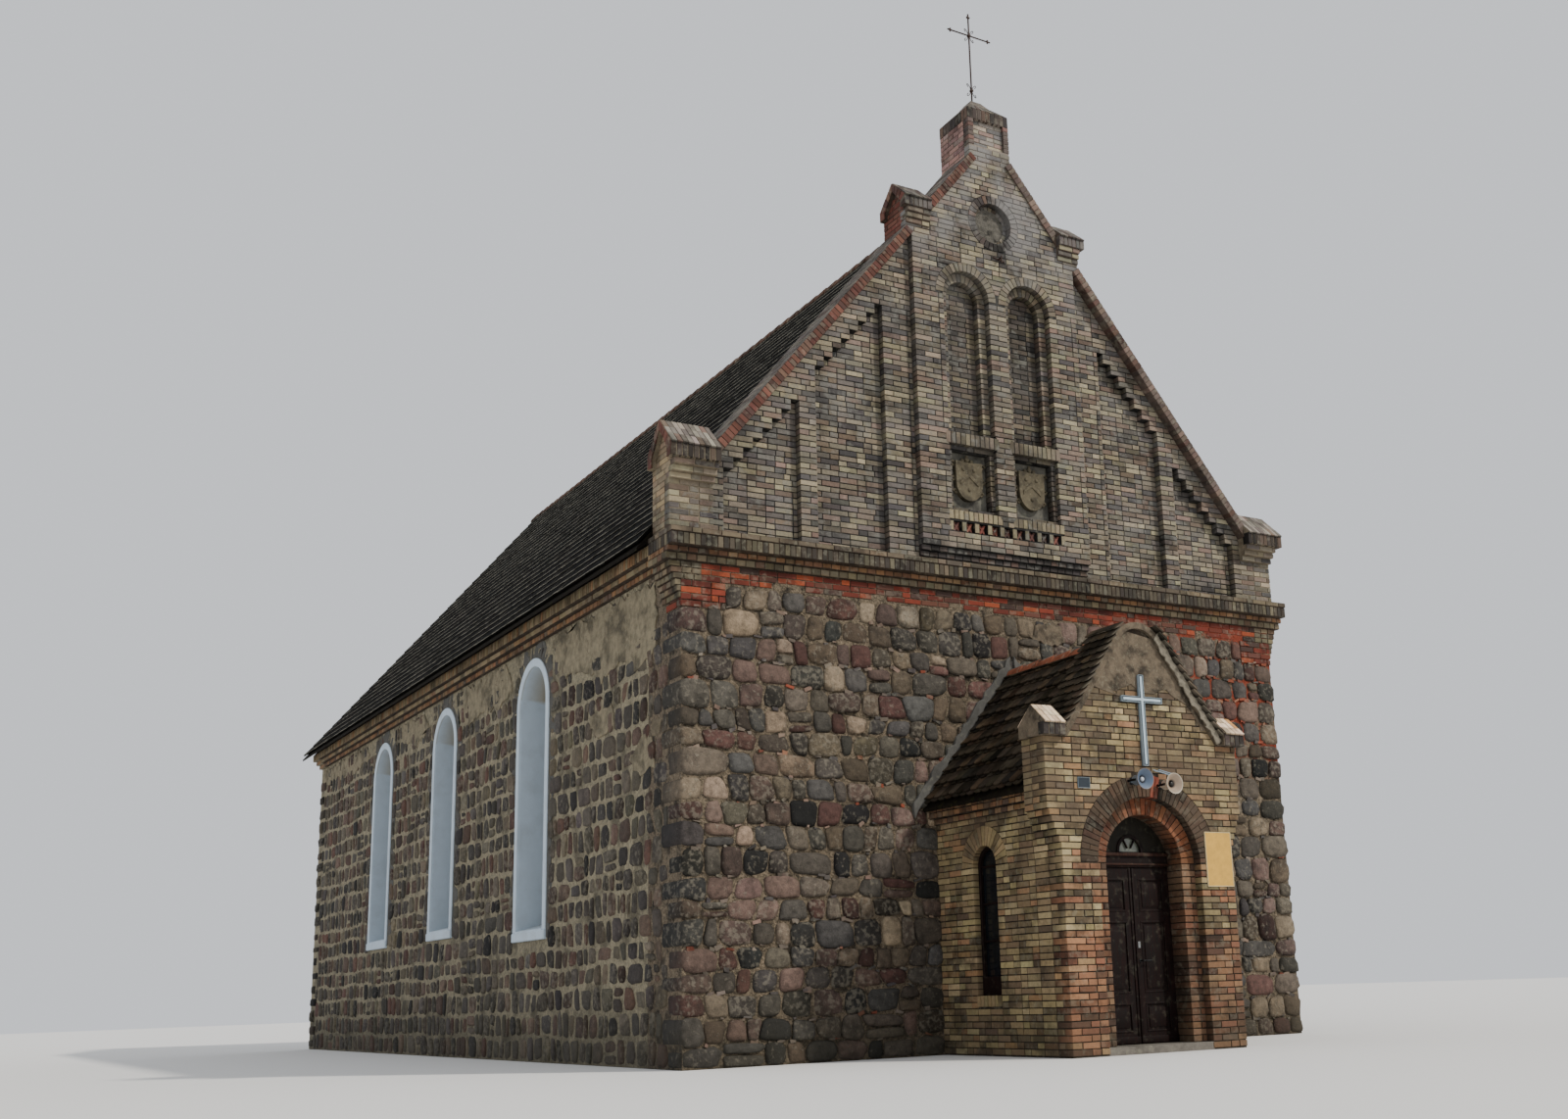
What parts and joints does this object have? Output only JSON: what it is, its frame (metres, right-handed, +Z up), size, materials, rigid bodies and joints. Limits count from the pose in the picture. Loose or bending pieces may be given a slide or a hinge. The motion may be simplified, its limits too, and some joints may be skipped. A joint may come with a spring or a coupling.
{
  "type": "church building",
  "caption": "Small hall church with fieldstone nave walls, a tall brick west gable with niches, a steep tiled roof and a brick porch with a double door.",
  "frame": {"origin": "on the ground, under the middle of the building's box", "axes": "+Z up, +Y from the west front and porch towards the east end, +X to the right along the west front"},
  "size_m": [10.48, 22.7, 15.23],
  "materials": {
    "granite": "rough coursed fieldstone with pale mortar joints",
    "pale_brick": "weathered yellow-grey brick",
    "red_brick": "weathered red brick",
    "orange_brick": "weathered orange brick",
    "plain_tile": "dark weathered plain tiles",
    "render": "weathered cement render",
    "dark_wood": "dark brown paint on wood",
    "window_glass": "clear glass in small panes",
    "floor_stone": "worn paving stone",
    "rusty_iron": "rusty wrought iron",
    "white_paint": "white satin paint",
    "grey_plastic": "weathered grey plastic"
  },
  "bodies": {
    "church": {"front_wall_left": "granite", "front_wall_right": "granite", "front_wall_over_doorway": "granite", "nave_left_wall": "granite", "nave_right_wall": "granite", "east_wall": "granite", "east_gable": "granite", "nave_floor": "floor_stone", "nave_left_window_1": "window_glass", "nave_left_window_2": "window_glass", "nave_left_window_3": "window_glass", "nave_right_window_1": "window_glass", "nave_right_window_2": "window_glass", "nave_right_window_3": "window_glass", "east_left_window": "window_glass", "east_right_window": "window_glass", "front_cornice": "orange_brick", "eaves_cornice_left": "orange_brick", "eaves_cornice_right": "orange_brick", "gable_wall": "pale_brick", "middle_bay": "pale_brick", "eaves_kneeler_left": "pale_brick", "eaves_kneeler_right": "pale_brick", "middle_kneeler_left": "red_brick", "middle_kneeler_right": "red_brick", "lower_coping_left": "red_brick", "lower_coping_right": "red_brick", "upper_coping_left": "red_brick", "upper_coping_right": "red_brick", "pinnacle": "red_brick", "iron_cross": "rusty_iron", "nave_roof_left": "plain_tile", "nave_roof_right": "plain_tile", "nave_ridge": "plain_tile", "porch_left_wall": "pale_brick", "porch_right_wall": "pale_brick", "porch_left_window": "window_glass", "porch_right_window": "window_glass", "porch_left_pier": "pale_brick", "porch_right_pier": "pale_brick", "porch_gable": "pale_brick", "porch_coping": "render", "porch_roof_left": "plain_tile", "porch_roof_right": "plain_tile", "porch_ridge": "orange_brick", "porch_floor": "floor_stone", "door_frame": "dark_wood", "fanlight": "window_glass", "porch_cross": "white_paint", "speaker_left": "grey_plastic", "speaker_right": "grey_plastic"},
    "door_left": {"door_leaf_left": "dark_wood"},
    "door_right": {"door_leaf_right": "dark_wood"}
  },
  "joints": [
    {"name": "door_left_hinge", "type": "hinge", "parent": "church", "child": "door_left", "pos_m": [-0.587, -10.636, 0], "axis": [0, 0, 1], "range_deg": [0, 90]},
    {"name": "door_right_hinge", "type": "hinge", "parent": "church", "child": "door_right", "pos_m": [0.587, -10.636, 0], "axis": [0, 0, -1], "range_deg": [0, 90]}
  ]
}
